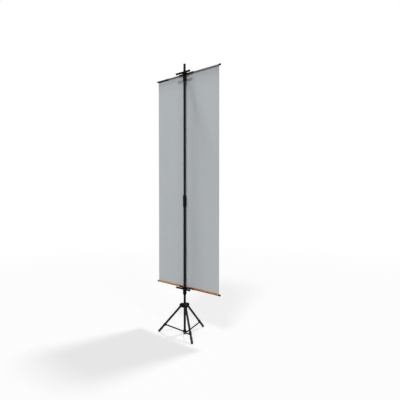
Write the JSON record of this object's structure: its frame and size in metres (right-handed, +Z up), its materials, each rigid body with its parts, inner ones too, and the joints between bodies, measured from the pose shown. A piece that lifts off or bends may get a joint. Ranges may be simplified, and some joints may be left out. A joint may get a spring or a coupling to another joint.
{
  "type": "tripod banner stand",
  "caption": "Folding tripod stand with a telescopic pole and clip-on cross brackets that hold a cloth banner taut between tubular rails.",
  "frame": {"origin": "on the pole's axis at the floor, on the underside of the column foot", "axes": "+Z up the pole, +X along the banner's rails, +Y from the pole to the banner"},
  "size_m": [0.838, 0.4032, 2.536],
  "materials": {
    "tube_paint": "satin black powder coat",
    "plastic": "moulded black, fine grain",
    "rubber": "matte",
    "rivet_steel": "blackened",
    "rail_metal": "mill finish",
    "cloth": "grey block-out back, plain"
  },
  "bodies": {
    "column": {"column_tube": "tube_paint", "column_foot": "rubber", "column_guide": "plastic", "spider": "plastic", "spider_rivet_1": "rivet_steel", "spider_rivet_2": "rivet_steel", "spider_rivet_3": "rivet_steel"},
    "carrier": {"hub": "plastic", "hub_rivet_1": "rivet_steel", "hub_rivet_2": "rivet_steel", "hub_rivet_3": "rivet_steel"},
    "clamp_screw": {"hub_screw": "plastic"},
    "leg_1": {"leg_tube_1": "tube_paint", "leg_tongue_1": "plastic", "leg_clip_1": "plastic", "leg_foot_1": "rubber"},
    "leg_2": {"leg_tube_2": "tube_paint", "leg_tongue_2": "plastic", "leg_clip_2": "plastic", "leg_foot_2": "rubber"},
    "leg_3": {"leg_tube_3": "tube_paint", "leg_tongue_3": "plastic", "leg_clip_3": "plastic", "leg_foot_3": "rubber"},
    "brace_arm_1": {"brace_1": "tube_paint", "brace_rivet_1": "rivet_steel"},
    "brace_arm_2": {"brace_2": "tube_paint", "brace_rivet_2": "rivet_steel"},
    "brace_arm_3": {"brace_3": "tube_paint", "brace_rivet_3": "rivet_steel"},
    "mast": {"mast_tube": "tube_paint", "mast_lock_body": "plastic", "bottom_bracket": "plastic", "bottom_rail": "rail_metal", "bottom_rail_end_left": "plastic", "bottom_rail_end_right": "plastic", "banner": "cloth"},
    "mast_nut": {"mast_lock_nut": "plastic"},
    "bottom_nut": {"bottom_bracket_nut": "plastic"},
    "upper_pole": {"upper_tube": "tube_paint", "upper_tube_guide": "plastic", "pole_cap": "plastic", "top_bracket": "plastic", "top_rail": "rail_metal", "top_rail_end_left": "plastic", "top_rail_end_right": "plastic"},
    "top_nut": {"top_bracket_nut": "plastic"}
  },
  "joints": [
    {"name": "tripod_fold", "type": "slide", "parent": "column", "child": "carrier", "axis": [0, 0, 1], "range_m": [0, 0.188]},
    {"name": "leg_1_fold", "type": "hinge", "parent": "carrier", "child": "leg_1", "pos_m": [0, 0.0369, 0.266], "axis": [-1, 0, 0], "range_deg": [0, 40.4]},
    {"name": "leg_2_fold", "type": "hinge", "parent": "carrier", "child": "leg_2", "pos_m": [-0.03196, -0.01845, 0.266], "axis": [0.5, -0.866, 0], "range_deg": [0, 40.4]},
    {"name": "leg_3_fold", "type": "hinge", "parent": "carrier", "child": "leg_3", "pos_m": [0.03196, -0.01845, 0.266], "axis": [0.5, 0.866, 0], "range_deg": [0, 40.4]},
    {"name": "brace_1_fold", "type": "hinge", "parent": "column", "child": "brace_arm_1", "pos_m": [0, 0.018, 0.0205], "axis": [1, 0, 0], "range_deg": [0, 70.6]},
    {"name": "brace_2_fold", "type": "hinge", "parent": "column", "child": "brace_arm_2", "pos_m": [-0.01559, -0.009, 0.0205], "axis": [-0.5, 0.866, 0], "range_deg": [0, 70.6]},
    {"name": "brace_3_fold", "type": "hinge", "parent": "column", "child": "brace_arm_3", "pos_m": [0.01559, -0.009, 0.0205], "axis": [-0.5, -0.866, 0], "range_deg": [0, 70.6]},
    {"name": "mast_slide", "type": "slide", "parent": "column", "child": "mast", "axis": [0, 0, 1], "range_m": [0, 0.188]},
    {"name": "telescope", "type": "slide", "parent": "mast", "child": "upper_pole", "axis": [0, 0, 1], "range_m": [-0.47, 0], "deforming": ["banner"]},
    {"name": "mast_lock_twist", "type": "hinge", "parent": "mast", "child": "mast_nut", "pos_m": [0, 0, 1.3], "axis": [0, 0, 1], "range_deg": [0, 180]},
    {"name": "bottom_nut_twist", "type": "hinge", "parent": "mast", "child": "bottom_nut", "pos_m": [0, 0, 0.4], "axis": [0, 0, -1], "range_deg": [0, 180]},
    {"name": "top_nut_twist", "type": "hinge", "parent": "upper_pole", "child": "top_nut", "pos_m": [0, 0, 2.41], "axis": [0, 0, -1], "range_deg": [0, 180]},
    {"name": "clamp_screw_turn", "type": "hinge", "parent": "carrier", "child": "clamp_screw", "pos_m": [0, 0, 0.274], "axis": [-0.866, 0.5, 0], "range_deg": [0, 720]}
  ],
  "couplings": [
    {"joint": "leg_1_fold", "follows": "tripod_fold", "rad_per_m": 3.7445},
    {"joint": "leg_2_fold", "follows": "tripod_fold", "rad_per_m": 3.7445},
    {"joint": "leg_3_fold", "follows": "tripod_fold", "rad_per_m": 3.7445},
    {"joint": "brace_1_fold", "follows": "tripod_fold", "rad_per_m": 6.5465},
    {"joint": "brace_2_fold", "follows": "tripod_fold", "rad_per_m": 6.5465},
    {"joint": "brace_3_fold", "follows": "tripod_fold", "rad_per_m": 6.5465},
    {"joint": "mast_slide", "follows": "tripod_fold", "ratio": 1}
  ]
}
